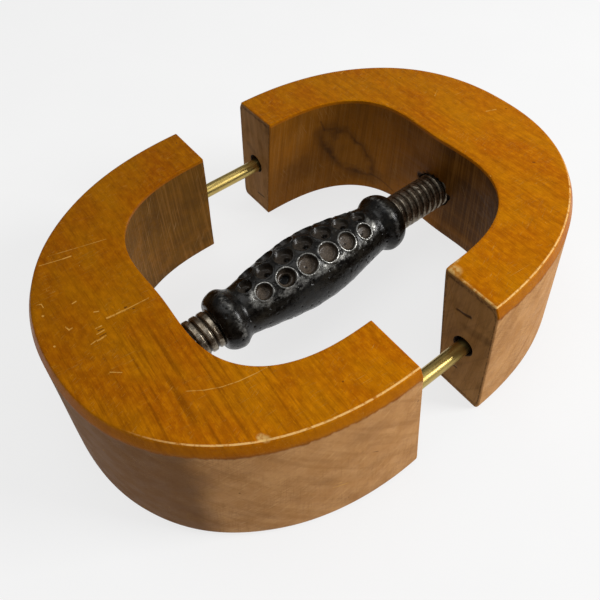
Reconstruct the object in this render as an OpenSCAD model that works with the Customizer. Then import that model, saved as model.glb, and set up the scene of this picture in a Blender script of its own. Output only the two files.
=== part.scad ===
// Hat stretcher: an oval wooden block in two halves, spread by a screw with
// opposite threads and kept in line by two guide rods.
// +X runs along the screw and the rods, +Z is up, and the origin is on the
// resting plane in the middle of the gap.

/* [Wooden halves] */
// Height of both halves
block_h = 60; // [54:1:80]
// Gap between the end faces as drawn
rest_gap = 33.5; // [30:0.5:37]
// Widest gap the halves open to, with the rods still in both
widest_gap = 38; // [37:0.5:39]
// Length of one half along X, at its top edge
half_length = 89.2; // [88:0.2:96]
// Half of the width across the top edge
half_width = 74.2; // [74:0.1:80]
// How far the outer wall flares out from top to bottom
outer_flare = 8; // [5:0.1:9]
// Height of the bevel along the top edge
top_bevel_h = 3.3; // [2:0.1:6]
// Width of the bevel along the top edge
top_bevel_w = 1.4; // [1:0.1:4]
// Height of the rounding along the bottom edge
foot_bevel_h = 4.7; // [2:0.1:6]
// Width of the rounding along the bottom edge
foot_bevel_w = 2.3; // [1:0.1:3]

/* [Inner wall] */
// Depth of the hollow at its top edge, from the end face
hollow_length = 52.4; // [50:0.1:54]
// Half of the hollow's width at its top edge
hollow_half_width = 50.7; // [48:0.1:52]
// How far the hollow flares out along X from top to bottom
hollow_flare_x = 11.5; // [6:0.1:12]
// How far the hollow flares out along Y from top to bottom
hollow_flare_y = 10.1; // [6:0.1:10.5]
// How far the boss around the screw stands in from the hollow's wall
boss_depth = 4.7; // [2:0.1:6]
// Spread of the boss along Y
boss_spread = 20; // [16:1:22]

/* [Guide rods] */
// Radius of each brass rod
rod_r = 3; // [2.5:0.1:3.5]
// Radius of the rods' holes, which are loose
rod_hole_r = 4.2; // [4:0.1:4.6]
// Depth of the rods' holes
rod_hole_depth = 42; // [41:0.5:43]
// Distance of each rod from the screw
rod_offset = 66.6; // [66:0.1:67]
// Height of the rods' axes above the resting plane
rod_z = 28.4; // [26:0.1:32]

/* [Screw] */
// Radius over the crests of the threads
screw_r = 8.2; // [7:0.1:8.4]
// Height of the screw's axis above the resting plane
screw_z = 27.4; // [26:0.1:32]
// Advance in one turn
pitch = 3.4; // [3:0.1:4]
// Depth of the threads
thread_depth = 0.85; // [0.5:0.05:1]
// Distance of each screw's tip from the middle of the gap
screw_tip = 87; // [84:0.5:88]
// Running clearance around the crests in the wood
screw_clearance = 0.1; // [0.02:0.01:0.1]

/* [Handle] */
// Middle of the handle along X, which sits nearer the left half
handle_x = -3.5; // [-5:0.5:4]
// Half of the handle's length
handle_half = 46.3; // [45:0.1:46.5]
// Radius of the grip in the middle
grip_r = 15.4; // [13:0.1:15.6]
// Radius of the necks at both ends of the grip
neck_r = 10.7; // [9.8:0.1:11]
// Distance from the middle of the handle to each neck
neck_x = 34.5; // [33:0.5:35]
// Radius of the collar beads
bead_r = 12.9; // [11.2:0.1:13.2]
// Distance from the middle of the handle to each bead
bead_x = 39.9; // [39:0.1:41]
// Radius of the largest dimples
dimple_r = 4; // [3:0.1:4.2]
// Depth of the dimples
dimple_depth = 2.1; // [1:0.1:3]

/* [Hidden] */

// Thickness of the slices that the outer body is hulled from
slice_h = 0.02;
// What is left of a rod in one hole when it lies against the end of the other
rod_hold = 2;
rod_length = rod_hole_depth + widest_gap + rod_hold;
screw_hole_depth = screw_tip + 1.5;
// The loose rods lie nearly on the bottoms of their holes
rod_hole_z = rod_z + rod_hole_r - rod_r - 0.3;
shank_r = screw_r - thread_depth - 0.2;
// The screws' shanks sit in sockets in both ends of the handle
socket_clearance = 0.05;
socket_start = 24;
// Radius of the handle's ends, where the threads start
handle_end_r = 9.2;

// Radius of an oval (superellipse) with half axes a and b and exponent n
function oval_point(a, b, n, t) = [
    a * pow(abs(cos(t)), 2 / n),
    b * pow(abs(sin(t)), 2 / n) * sign(t)
];

// One half of the outer oval at a level, closed along its end face at x = 0
function outer_outline(inset) = [
    for (t = [-90 : 4 : 90])
        oval_point(half_length + outer_flare - inset, half_width + outer_flare - inset, 2.2, t)
];

// The hollow at the resting plane, with the boss, running out past the end face
function hollow_scale_x() = (hollow_length + hollow_flare_x) / hollow_length;
function hollow_scale_y() = (hollow_half_width + hollow_flare_y) / hollow_half_width;
function hollow_outline() = concat(
    [[-6, -hollow_half_width]],
    [for (t = [-90 : 4 : 90])
        let (p = oval_point(hollow_length, hollow_half_width, 2.74, t))
        [max(0, p.x - boss_depth * exp(-pow(p.y / boss_spread, 2) / 2)), p.y]],
    [[-6, hollow_half_width]]
);

// The outer body as one hull of four levels
module outer_body() {
    levels = [
        [0, foot_bevel_w],
        [foot_bevel_h, outer_flare * foot_bevel_h / block_h],
        [block_h - top_bevel_h, outer_flare * (block_h - top_bevel_h) / block_h],
        [block_h - slice_h, outer_flare + top_bevel_w]
    ];
    hull()
        for (level = levels)
            translate([0, 0, level[0]])
                linear_extrude(slice_h) polygon(outer_outline(level[1]));
}

// The hollow, wider at the bottom, running past both faces
module hollow() {
    past = 2;
    bottom = 1 + past / block_h;
    top = -past / block_h;
    at_bottom = [1 + (hollow_scale_x() - 1) * bottom, 1 + (hollow_scale_y() - 1) * bottom];
    at_top = [1 + (hollow_scale_x() - 1) * top, 1 + (hollow_scale_y() - 1) * top];
    translate([0, 0, -past])
        linear_extrude(block_h + 2 * past, slices = 1,
            scale = [at_top.x / at_bottom.x, at_top.y / at_bottom.y])
            scale([at_bottom.x, at_bottom.y]) polygon(hollow_outline());
}

// A half with its end face at x = 0 and its wall towards +X
module half_block() {
    difference() {
        outer_body();
        hollow();
        for (side = [-1, 1])
            translate([-1, side * rod_offset, rod_hole_z])
                rotate([0, 90, 0]) cylinder(h = rod_hole_depth + 1, r = rod_hole_r, $fn = 48);
        translate([0, 0, screw_z]) rotate([0, 90, 0])
            cylinder(h = screw_hole_depth, r = screw_r + screw_clearance, $fn = 64);
    }
}

module left_half() {
    color("peru") mirror([1, 0, 0]) translate([rest_gap / 2, 0, 0]) half_block();
}

module right_half() {
    color("peru") translate([rest_gap / 2, 0, 0]) half_block();
}

// A plain brass rod with chamfered ends, centred on the gap
module guide_rod(side) {
    chamfer = 0.6;
    translate([-rod_length / 2, side * rod_offset, rod_z]) rotate([0, 90, 0])
        rotate_extrude($fn = 48)
            polygon([
                [0, 0], [rod_r - chamfer, 0], [rod_r, chamfer],
                [rod_r, rod_length - chamfer], [rod_r - chamfer, rod_length], [0, rod_length]
            ]);
}

module guide_rod_rear() {
    color("goldenrod") guide_rod(1);
}

module guide_rod_front() {
    color("goldenrod") guide_rod(-1);
}

// Radius of the grip at a distance u from the middle of the handle
function grip_radius(u) =
    neck_r + (grip_r - neck_r) * pow(0.5 + 0.5 * cos(180 * u / neck_x), 0.62);

// Radius of a collar at a distance u, from the neck over the bead to the end
function collar_radius(u) =
    u < bead_x
        ? neck_r + (bead_r - neck_r) * (0.5 - 0.5 * cos(180 * (u - neck_x) / (bead_x - neck_x)))
        : handle_end_r + (bead_r - handle_end_r)
            * pow(cos(90 * (u - bead_x) / (handle_half - bead_x)), 0.5);

function handle_radius(u) = abs(u) < neck_x ? grip_radius(u) : collar_radius(abs(u));

// The turned shape of the handle along its own axis
module handle_blank() {
    steps = 96;
    outline = [
        for (i = [0 : steps])
            let (u = -handle_half + 2 * handle_half * i / steps)
            [handle_radius(u), u]
    ];
    rotate_extrude($fn = 64)
        polygon(concat([[0, -handle_half]], outline, [[0, handle_half]]));
}

// One flat-bottomed dimple at a distance u and an angle around the handle
module dimple(u, angle) {
    r = dimple_r - 0.8 * pow(u / 25, 2);
    rotate([angle, 0, 0]) translate([u, grip_radius(u) - dimple_depth, 0])
        rotate([-90, 0, 0]) cylinder(h = dimple_depth + 3, r = r, $fn = 32);
}

// Three staggered rows of dimples on each of two opposite sides
module dimples() {
    for (side = [0, 180]) {
        for (i = [-2.5 : 1 : 2.5]) dimple(i * 10.1, 52 + side);
        for (i = [-2.5 : 1 : 2.5]) dimple(i * 10.1, 116 + side);
        for (i = [-3 : 1 : 3]) dimple(i * 9.6 - 1.2, 84 + side);
    }
}

module handle() {
    color([0.16, 0.15, 0.14]) translate([handle_x, 0, screw_z])
        difference() {
            rotate([0, 90, 0]) handle_blank();
            dimples();
            for (side = [0, 1]) mirror([side, 0, 0])
                translate([socket_start, 0, 0]) rotate([0, 90, 0])
                    cylinder(h = handle_half, r = shank_r + socket_clearance, $fn = 48);
        }
}

// Radius of a left-hand thread at a distance x along it and an angle around it
function thread_radius(x, angle) =
    screw_r - thread_depth + thread_depth
        * pow(abs(sin(180 * (x / pitch + angle / 360))), 0.7);

// Radius of a screw: a plain shank up to the start, then threads and a tapered tip
function screw_radius(x, angle, start, tip) =
    x < start ? shank_r : min(thread_radius(x, angle), shank_r + 0.55 * (tip - x));

// A screw along +X as one skin of rings, from inside the handle to its tip
module screw(inner, start, tip) {
    around = 20;
    ring_step = pitch / 8;
    first = ceil(start / ring_step);
    rings = [for (i = [first : 1 : floor(tip / ring_step - 0.5)]) i * ring_step];
    xs = concat([inner, start - 0.01], rings, [tip]);
    points = concat(
        [for (x = xs) for (k = [0 : around - 1])
            let (angle = 360 * k / around, r = screw_radius(x, angle, start, tip))
            [x, r * cos(angle), r * sin(angle)]],
        [[inner, 0, 0], [tip, 0, 0]]
    );
    last = len(xs) - 1;
    hub = len(points) - 2;
    faces = concat(
        [for (j = [0 : last - 1]) for (k = [0 : around - 1]) each [
            [j * around + k, (j + 1) * around + k, (j + 1) * around + (k + 1) % around],
            [j * around + k, (j + 1) * around + (k + 1) % around, j * around + (k + 1) % around]
        ]],
        [for (k = [0 : around - 1]) [hub, k, (k + 1) % around]],
        [for (k = [0 : around - 1]) [hub + 1, last * around + (k + 1) % around, last * around + k]]
    );
    translate([0, 0, screw_z]) polyhedron(points, faces);
}

module left_screw() {
    color([0.45, 0.42, 0.38]) mirror([1, 0, 0])
        screw(socket_start - handle_x + 1, handle_half - handle_x + 0.1, screw_tip);
}

module right_screw() {
    color([0.45, 0.42, 0.38])
        screw(socket_start + handle_x + 1, handle_half + handle_x + 0.1, screw_tip);
}

left_half();
right_half();
guide_rod_rear();
guide_rod_front();
handle();
left_screw();
right_screw();
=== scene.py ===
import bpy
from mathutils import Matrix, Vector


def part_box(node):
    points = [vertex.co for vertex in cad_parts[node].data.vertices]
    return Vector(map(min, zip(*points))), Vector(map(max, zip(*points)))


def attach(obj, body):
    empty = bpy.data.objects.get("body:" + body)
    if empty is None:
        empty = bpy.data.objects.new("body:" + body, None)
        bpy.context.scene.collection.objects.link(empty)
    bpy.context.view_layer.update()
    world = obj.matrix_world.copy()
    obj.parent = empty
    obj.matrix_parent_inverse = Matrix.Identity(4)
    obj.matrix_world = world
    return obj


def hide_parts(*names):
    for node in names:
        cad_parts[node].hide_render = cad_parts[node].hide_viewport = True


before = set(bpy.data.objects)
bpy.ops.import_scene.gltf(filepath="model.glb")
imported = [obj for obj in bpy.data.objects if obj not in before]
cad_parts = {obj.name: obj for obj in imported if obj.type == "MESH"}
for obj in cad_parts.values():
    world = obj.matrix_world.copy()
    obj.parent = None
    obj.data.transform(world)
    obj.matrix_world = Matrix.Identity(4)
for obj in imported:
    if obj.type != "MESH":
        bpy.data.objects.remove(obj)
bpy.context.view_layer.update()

from bisect import bisect_right
from math import atan2, copysign, cos, degrees, exp, hypot, pi, radians, sin, sqrt

import bmesh
import bpy
from mathutils import Matrix, Vector, noise

MM = 0.001
TURN = 2 * pi

# ---- sizes from the frame
half_low, half_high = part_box("right_half")
rod_low, rod_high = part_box("guide_rod_rear")
handle_low, handle_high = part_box("handle")
screw_low, screw_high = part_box("right_screw")

END_FACE = half_low[0]
BLOCK_H = half_high[2]
LONG = half_high[0] - half_low[0]
WIDE = half_high[1]
ROD_R = (rod_high[2] - rod_low[2]) / 2
ROD_Y = (rod_high[1] + rod_low[1]) / 2
ROD_Z = (rod_high[2] + rod_low[2]) / 2
SCREW_Z = (screw_high[2] + screw_low[2]) / 2
HANDLE_X = (handle_high[0] + handle_low[0]) / 2
HANDLE_HALF = (handle_high[0] - handle_low[0]) / 2
GRIP_R = handle_high[1]

# The rest of the design's dimensions, as the CAD has them
OUTER_FLARE = 8 * MM
TOP_BEVEL_H = 3.3 * MM
TOP_BEVEL_W = 1.4 * MM
FOOT_H = 4.7 * MM
FOOT_W = 2.3 * MM
HOLLOW_LONG = 52.4 * MM
HOLLOW_WIDE = 50.7 * MM
HOLLOW_FLARE_X = 11.5 * MM
HOLLOW_FLARE_Y = 10.1 * MM
BOSS_DEPTH = 4.7 * MM
BOSS_SPREAD = 20 * MM
OUTER_SQUARENESS = 2.2
HOLLOW_SQUARENESS = 2.74
ROD_HOLE_R = 4.2 * MM
ROD_HOLE_DEPTH = 42 * MM
ROD_HOLE_Z = ROD_Z + ROD_HOLE_R - ROD_R - 0.3 * MM
SCREW_R = 8.2 * MM
PITCH = 3.4 * MM
THREAD_DEPTH = 0.85 * MM
SHANK_R = SCREW_R - THREAD_DEPTH - 0.2 * MM
NECK_R = 10.7 * MM
NECK_X = 34.5 * MM
BEAD_R = 12.9 * MM
BEAD_X = 39.9 * MM
HANDLE_END_R = 9.2 * MM
DIMPLE_R = 4 * MM
DIMPLE_DEPTH = 2.1 * MM
ROW_STEP = 10.1 * MM
MIDDLE_ROW_STEP = 9.6 * MM
MIDDLE_ROW, REAR_ROW = 84, 52

# Only the visual model has these: the front row of dimples a little lower than in the CAD, the
# rounding of the wood's edges, the angle from which an edge of the wood looks sharp, and the
# numbers of the halves' materials
FRONT_ROW = 118.5
EDGE_R = 0.45 * MM
SHARP_WOOD = 38
VARNISHED, INNER, END, BORE = range(4)

# ---- small helpers


def mix(a, b, amount):
    return a + (b - a) * amount


def smooth(low, high, value):
    """0 below low, 1 above high, and a smooth step between them."""
    t = min(max((value - low) / (high - low), 0.0), 1.0)
    return t * t * (3 - 2 * t)


def smooth_down(low, high, value):
    return 1 - smooth(low, high, value)


def rough(point, size, seed=0.0):
    """Seeded noise from -1 to 1 whose bumps are about size across."""
    return noise.noise(point / size + Vector((seed, seed * 1.7, -seed)))


def signed_power(value, exponent):
    return copysign(abs(value) ** exponent, value)


def ring_point(x, radius, angle, y=0.0, z=0.0):
    """A point on a circle around a line that runs along X."""
    return Vector((x, y + radius * cos(angle), z + radius * sin(angle)))


def new_object(name, data):
    thing = bpy.data.objects.new(name, data)
    bpy.context.scene.collection.objects.link(thing)
    return thing


def make_object(name, points, faces, materials, face_materials=None, sharp_angle=40, **values):
    """A mesh piece with smooth shading that breaks at edges sharper than sharp_angle degrees.
    values holds lists of one number per point, for the materials to read."""
    mesh = bpy.data.meshes.new(name)
    mesh.from_pydata([tuple(p) for p in points], [], faces)
    for material in materials:
        mesh.materials.append(material)
    if face_materials:
        mesh.polygons.foreach_set("material_index", face_materials)
    tidy = bmesh.new()
    tidy.from_mesh(mesh)
    bmesh.ops.recalc_face_normals(tidy, faces=tidy.faces)
    tidy.to_mesh(mesh)
    tidy.free()
    mesh.polygons.foreach_set("use_smooth", [True] * len(mesh.polygons))
    mesh.set_sharp_from_angle(angle=radians(sharp_angle))
    for value_name, numbers in values.items():
        layer = mesh.attributes.new(value_name, "FLOAT", "POINT")
        layer.data.foreach_set("value", numbers)
    return new_object(name, mesh)


def turns(stations, around):
    """Each station with each angle around it, in the order that tube_faces expects."""
    for station in stations:
        for k in range(around):
            yield station, TURN * k / around


def tube_faces(rings, around):
    """Quads between rings of points, each ring closed on itself."""
    faces = []
    for ring in range(rings - 1):
        for k in range(around):
            a = ring * around + k
            b = ring * around + (k + 1) % around
            faces.append((a, b, b + around, a + around))
    return faces


# ---- materials


class Surface:
    """A node material, with short calls for the few kinds of node that it needs."""

    def __init__(self, name, roughness=0.5, metallic=0.0, shine=0.3, tint=(1, 1, 1)):
        self.material = bpy.data.materials.new(name)
        self.material.use_nodes = True
        self.nodes = self.material.node_tree.nodes
        self.links = self.material.node_tree.links
        self.shader = self.nodes["Principled BSDF"]
        self.fill(self.shader, Roughness=roughness, Metallic=metallic, Specular_IOR_Level=shine,
                  Specular_Tint=tint)
        self.place = self.node("TexCoord").outputs["Object"]

    def node(self, kind, **settings):
        node = self.nodes.new("ShaderNode" + kind)
        for name, value in settings.items():
            setattr(node, name, value)
        return node

    def put(self, value, socket):
        """Links a node's output, or sets a plain value, on a socket. Colours come without alpha."""
        if isinstance(value, bpy.types.NodeSocket):
            self.links.new(value, socket)
        elif socket.type == "RGBA":
            socket.default_value = (*value, 1)
        else:
            socket.default_value = value

    def fill(self, node, **values):
        """Puts values on inputs by name, where an underscore stands for a space."""
        for name, value in values.items():
            self.put(value, node.inputs[name.replace("_", " ")])

    def math(self, operation, a, b=0.0):
        node = self.node("Math", operation=operation)
        self.put(a, node.inputs[0])
        self.put(b, node.inputs[1])
        return node.outputs[0]

    def times(self, a, b):
        return self.math("MULTIPLY", a, b)

    def plus(self, a, b):
        return self.math("ADD", a, b)

    def minus(self, a, b):
        return self.math("SUBTRACT", a, b)

    def swayed(self, value, noise, amount):
        """The value, shifted up and down by a noise that goes from 0 to 1."""
        return self.plus(value, self.times(self.minus(noise, 0.5), amount))

    def vector(self, operation, a, b=(0, 0, 0)):
        node = self.node("VectorMath", operation=operation)
        self.put(a, node.inputs[0])
        self.put(b, node.inputs[1])
        return node.outputs["Value" if operation in ("LENGTH", "DOT_PRODUCT") else "Vector"]

    def scaled(self, a, amount):
        node = self.node("VectorMath", operation="SCALE")
        self.fill(node, Vector=a, Scale=amount)
        return node.outputs["Vector"]

    def turned(self, angles):
        """The place, turned by degrees about X, Y and Z."""
        node = self.node("VectorRotate", rotation_type="EULER_XYZ")
        self.fill(node, Vector=self.place, Rotation=[radians(angle) for angle in angles])
        return node.outputs[0]

    def spread(self, size, seed, place=None):
        """The place in units of size (x, y, z) millimetres, moved by a seed."""
        scaled = self.vector("MULTIPLY", place or self.place, tuple(1 / (side * MM) for side in size))
        return self.vector("ADD", scaled, (seed, seed * 2.3, seed * 0.7))

    def noise(self, size, seed=0.0, detail=3.0, place=None, distortion=0.0, rough=0.5):
        """Noise from 0 to 1 with bumps of size (x, y, z) millimetres."""
        node = self.node("TexNoise")
        self.fill(node, Vector=self.spread(size, seed, place), Scale=1.0, Detail=detail,
                  Roughness=rough, Distortion=distortion)
        return node.outputs["Fac"]

    def cells(self, spacing, seed):
        """Distance from the nearest of scattered points, about spacing millimetres apart, in units
        of that spacing, and each point's own value."""
        node = self.node("TexVoronoi")
        self.fill(node, Vector=self.spread((spacing, spacing, spacing), seed), Scale=1.0)
        own = self.vector("DOT_PRODUCT", node.outputs["Color"], (1, 0, 0))
        return node.outputs["Distance"], own

    def band(self, value, low, high, bottom=0.0, top=1.0):
        """Maps value from low..high to bottom..top with smooth ends."""
        node = self.node("MapRange", interpolation_type="SMOOTHSTEP")
        self.fill(node, Value=value, From_Min=low, From_Max=high, To_Min=bottom, To_Max=top)
        return node.outputs["Result"]

    def axis(self, name):
        node = self.node("SeparateXYZ")
        self.put(self.place, node.inputs[0])
        return node.outputs[name]

    def value(self, name):
        """A number that the mesh stores for each vertex."""
        return self.node("Attribute", attribute_name=name).outputs["Fac"]

    def blend(self, amount, a, b, kind="RGBA"):
        """From a to b, which are colours unless kind says that they are numbers."""
        node = self.node("Mix", data_type=kind)
        self.fill(node, Factor=amount, A=a, B=b)
        return node.outputs["Result"]

    def over(self, colour, paint, value, low, high, top=1.0, bottom=0.0):
        """The colour with paint over it, from bottom to top as value goes from low to high."""
        return self.blend(self.band(value, low, high, bottom, top), colour, paint)

    def blur_line(self, start, end, width, place=None):
        """1 on the segment from start to end, falling to 0 at width from it."""
        along = end - start
        to_place = self.vector("SUBTRACT", place or self.place, tuple(start))
        share = self.vector("DOT_PRODUCT", to_place, tuple(along / along.length_squared))
        node = self.node("Clamp")
        self.fill(node, Value=share)
        nearest = self.scaled(tuple(along), node.outputs[0])
        distance = self.vector("LENGTH", self.vector("SUBTRACT", to_place, nearest))
        return self.band(distance, width * 0.3, width, 1.0, 0.0)

    def lines(self, strokes, place=None):
        """All the strokes of a list of (start, end, width) in metres."""
        return self.either(*[self.blur_line(a, b, width, place) for a, b, width in strokes])

    def either(self, *amounts):
        total = amounts[0]
        for amount in amounts[1:]:
            total = self.math("MAXIMUM", total, amount)
        return total

    def bump(self, height, distance, strength=1.0):
        node = self.node("Bump")
        self.fill(node, Distance=distance, Strength=strength, Height=height)
        self.links.new(node.outputs["Normal"], self.shader.inputs["Normal"])

    def finish(self, colour, roughness=None):
        self.put(colour, self.shader.inputs["Base Color"])
        if roughness is not None:
            self.put(roughness, self.shader.inputs["Roughness"])
        return self.material


def fibres(s, seed):
    """Grain along Y: short fine fibres, soft streaks, and the broad bands that growth leaves."""
    fine = s.noise((0.3, 7, 0.3), seed, 2)
    medium = s.noise((1.1, 40, 1.4), seed + 5, 3)
    broad = s.noise((8, 170, 9), seed + 9, 3, distortion=0.3)
    return fine, medium, broad


def wall_place(s):
    """A place on the outer or inner wall: the distance around the half, and the height."""
    node = s.node("CombineXYZ")
    s.fill(node, X=s.value("around"), Z=s.axis("Z"))
    return node.outputs[0]


def slanted(s, place, lean):
    """A wall place leaned over by degrees, so that marks stretched along Z come out slanting."""
    node = s.node("VectorRotate", rotation_type="Y_AXIS")
    s.fill(node, Vector=place, Angle=radians(lean))
    return node.outputs[0]


def scratches(s, seed, turn, width, length):
    """Sparse straight scratches of a width and length in millimetres, turned about Z."""
    streaks = s.noise((width, length, width), seed, 1, place=s.turned((0, 0, turn)))
    where = s.noise((9, 14, 9), seed + 4, 2)
    return s.times(s.band(streaks, 0.67, 0.72), s.band(where, 0.48, 0.6))


def specks(s, seed, spacing, radius, share):
    """Small round marks. radius counts in spacings, and share is the part of the scattered
    points that has a mark."""
    distance, own = s.cells(spacing, seed)
    round_mark = s.band(distance, radius * 0.5, radius, 1.0, 0.0)
    return s.times(round_mark, s.band(own, share, share + 0.02, 1.0, 0.0))


def amber_varnish(s, seed, streaks, rear_tone):
    """The varnished top: amber over a streaky brown grain. streaks is where the streaks are
    strongest and how strong they are there, and rear_tone is how dark the back is."""
    streak_centre, depth = streaks
    fine, medium, broad = fibres(s, seed)
    mottle = s.noise((13, 24, 14), seed + 2, 4)
    cloud = s.noise((2.2, 3.6, 3), seed + 13, 4, rough=0.6)
    amber = s.over((0.345, 0.09, 0.001), (0.4, 0.144, 0.0012), mottle, 0.3, 0.72)
    amber = s.over(amber, (0.27, 0.078, 0.0012), broad, 0.35, 0.7, 0.32)
    amber = s.over(amber, (0.52, 0.176, 0.0016), cloud, 0.42, 0.72, 0.6)
    amber = s.over(amber, (0.215, 0.062, 0.0012), cloud, 0.22, 0.46, 0.0, 0.5)

    streak = s.noise((1.5, 34, 4), seed + 3, 2, place=s.turned((0, 0, 4)))
    away = s.vector("LENGTH", s.vector("SUBTRACT", s.place, streak_centre))
    place = s.noise((17, 45, 30), seed + 7, 2)
    near = s.band(away, 14 * MM, 46 * MM, depth, 0.0)
    strength = s.plus(near, s.band(place, 0.42, 0.66, 0.06, 0.24))
    dark = s.times(s.band(streak, 0.5, 0.7), strength)
    amber = s.blend(dark, amber, (0.15, 0.04, 0.001))
    amber = s.over(amber, (0.2, 0.057, 0.001), medium, 0.4, 0.72, 0.3)
    amber = s.over(amber, (0.15, 0.04, 0.001), fine, 0.48, 0.74, 0.36)
    glints = s.noise((0.45, 1.0, 0.35), seed + 17, 2)
    amber = s.over(amber, (0.56, 0.215, 0.003), glints, 0.52, 0.8, 0.34)
    slope = s.vector("DOT_PRODUCT", s.place, (0.35, -0.94, 0))
    tone = s.band(slope, -75 * MM, 70 * MM, rear_tone, 1.16)
    return s.scaled(amber, tone), streak


def bare_wood(s, seed, shade):
    """The outer wall, with no varnish: tan wood with a crossing hatch of rays and sanding marks.
    Beyond a distance shade around the half it is darker and greyer: painted shade mixed with darker
    wood."""
    _, medium, broad = fibres(s, seed)
    wall = wall_place(s)
    pale = s.over((0.392, 0.188, 0.064), (0.475, 0.246, 0.094), broad, 0.3, 0.7)
    bands = s.noise((3.2, 8, 26), seed + 19, 3, place=slanted(s, wall, -48))
    pale = s.over(pale, (0.27, 0.12, 0.036), bands, 0.46, 0.7, 0.45)
    patchy = s.noise((16, 8, 13), seed + 29, 3, place=wall)
    for turn, share in ((54, 0.34), (-52, 0.28), (6, 0.3)):
        hatch = s.noise((0.5, 8, 8), seed + turn, 2, place=slanted(s, wall, turn))
        lines = s.band(hatch, 0.46, 0.72, 0.0, share)
        crossing = s.times(lines, s.band(patchy, 0.36, 0.62, 0.15, 1.0))
        pale = s.blend(crossing, pale, (0.215, 0.094, 0.03))
    light = s.noise((0.42, 8, 5), seed + 23, 2, place=slanted(s, wall, 50))
    pale = s.over(pale, (0.6, 0.36, 0.15), light, 0.55, 0.78, 0.4)
    pale = s.over(pale, (0.235, 0.108, 0.036), medium, 0.45, 0.8, 0.25)
    grime = s.noise((20, 28, 16), seed + 25, 5)
    pale = s.over(pale, (0.23, 0.104, 0.034), grime, 0.5, 0.78, 0.45)
    height = s.axis("Z")
    pale = s.over(pale, (0.13, 0.06, 0.02), height, 0.2 * MM, 2.4 * MM, 0.0, 0.45)
    if shade:
        # Painted shade mixed with darker wood: the wall, but not the underside, turns darker and
        # greyer beyond the distance shade around the half.
        around = s.swayed(s.value("around"), grime, 10 * MM)
        dull = s.band(around, shade - 6 * MM, shade + 6 * MM, 0.0, 0.8)
        dull = s.times(dull, s.band(height, 0.0, 1 * MM))
        pale = s.blend(dull, pale, (0.118, 0.05, 0.017))
    return pale


def varnished_wood(name, seed, marks):
    """Amber varnish on the top and just over its edge, and bare wood below a ragged line."""
    s = Surface(name, shine=0.05, tint=(1.0, 0.55, 0.06))
    height = s.axis("Z")
    amber, streak = amber_varnish(s, seed, marks["streaks"], marks["rear_tone"])
    on_edge = s.band(height, BLOCK_H - 1.0 * MM, BLOCK_H - 0.3 * MM, 1.0, 0.0)
    amber = s.blend(s.times(on_edge, 0.55), amber, (0.27, 0.078, 0.0012))
    low_edge = s.band(height, BLOCK_H - 5.2 * MM, BLOCK_H - 3.2 * MM, 1.0, 0.0)
    amber = s.blend(s.times(low_edge, 0.6), amber, (0.12, 0.036, 0.002))
    pale = bare_wood(s, seed, marks["shade"])

    ragged = s.noise((3, 3, 40), seed + 31, 5)
    edge = s.swayed(height, ragged, 3.4 * MM)
    varnish = s.band(edge, BLOCK_H - 5.4 * MM, BLOCK_H - 4.3 * MM)
    colour = s.blend(varnish, pale, amber)

    light_scratch = s.either(
        s.times(scratches(s, seed + 41, 96, 0.16, 7), 0.6),
        s.times(scratches(s, seed + 43, 70, 0.14, 4), 0.6),
        s.times(specks(s, seed + 47, 9, 0.045, 0.3), 0.9),
        s.times(specks(s, seed + 49, 4.5, 0.05, 0.25), 0.7),
        s.lines(marks["pale"]),
    )
    crumbly = s.noise((1.6, 1.6, 1.6), seed + 61, 4)
    broken = s.band(crumbly, 0.34, 0.52, 0.15, 0.75)
    colour = s.blend(s.times(light_scratch, broken), colour, (0.64, 0.34, 0.07))
    dark_mark = s.either(specks(s, seed + 51, 10, 0.045, 0.3), s.lines(marks["dark"]))
    colour = s.blend(s.times(dark_mark, 0.7), colour, (0.05, 0.018, 0.006))

    # The pale line along the top's outer edge: worn wood, and a painted highlight brightest along the
    # front.
    worn_and_highlit_line = s.band(s.value("wear"), 0.55, 0.95)
    worn = s.times(worn_and_highlit_line, s.band(crumbly, 0.3, 0.52, 0.1, 0.9))
    colour = s.blend(worn, colour, (0.76, 0.46, 0.16))
    frayed = s.times(s.lines(marks["bare"]), s.band(crumbly, 0.36, 0.58, 0.15, 0.85))
    colour = s.blend(frayed, colour, (0.6, 0.38, 0.13))

    gloss = s.noise((5, 9, 5), seed + 71, 3)
    bare_roughness = s.band(gloss, 0.3, 0.7, 0.55, 0.7)
    roughness = s.blend(varnish, bare_roughness, s.band(gloss, 0.3, 0.7, 0.26, 0.42), "FLOAT")
    roughness = s.plus(roughness, s.times(light_scratch, 0.2))
    on_wall = s.band(height, BLOCK_H - 3.6 * MM, BLOCK_H - 1.0 * MM, 0.55, 0.0)
    roughness = s.either(roughness, on_wall)

    relief = s.minus(s.times(s.minus(1.0, streak), 0.5), s.either(light_scratch, dark_mark))
    relief = s.plus(relief, s.times(crumbly, 0.4))
    s.bump(s.plus(relief, varnish), 0.08 * MM, 0.8)
    return s.finish(colour, roughness)


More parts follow.
